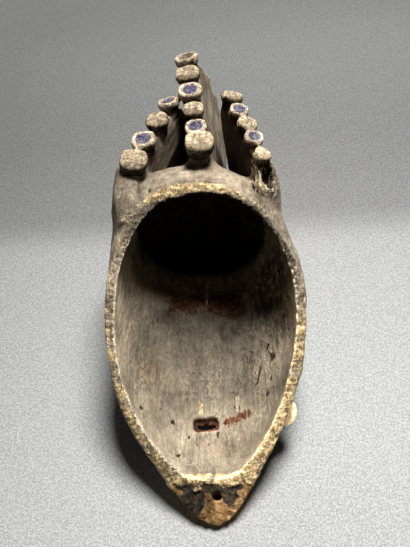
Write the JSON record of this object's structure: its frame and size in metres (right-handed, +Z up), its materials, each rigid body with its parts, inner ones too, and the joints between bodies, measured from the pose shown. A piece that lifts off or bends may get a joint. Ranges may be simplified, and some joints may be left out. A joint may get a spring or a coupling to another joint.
{
  "type": "helmet mask",
  "caption": "Carved wooden helmet mask lying on its face: a hollow head open behind, a pointed chin, a calm face with slit eyes and tall crests of blue-dotted pegs.",
  "frame": {"origin": "under the middle of the bounding box, on the surface the mask lies on", "axes": "+X across the face, towards the wearer's left; +Y from the chin tip towards the top of the crests; +Z up, out of the open back of the head, with the face looking down"},
  "size_m": [0.1994, 0.511, 0.2096],
  "materials": {
    "carved_wood": "dry carved wood, worn to raw yellow wood on the rim, with remains of dark paint, kaolin and blue pigment"
  },
  "bodies": {
    "root": {"mask": "carved_wood"}
  },
  "joints": []
}
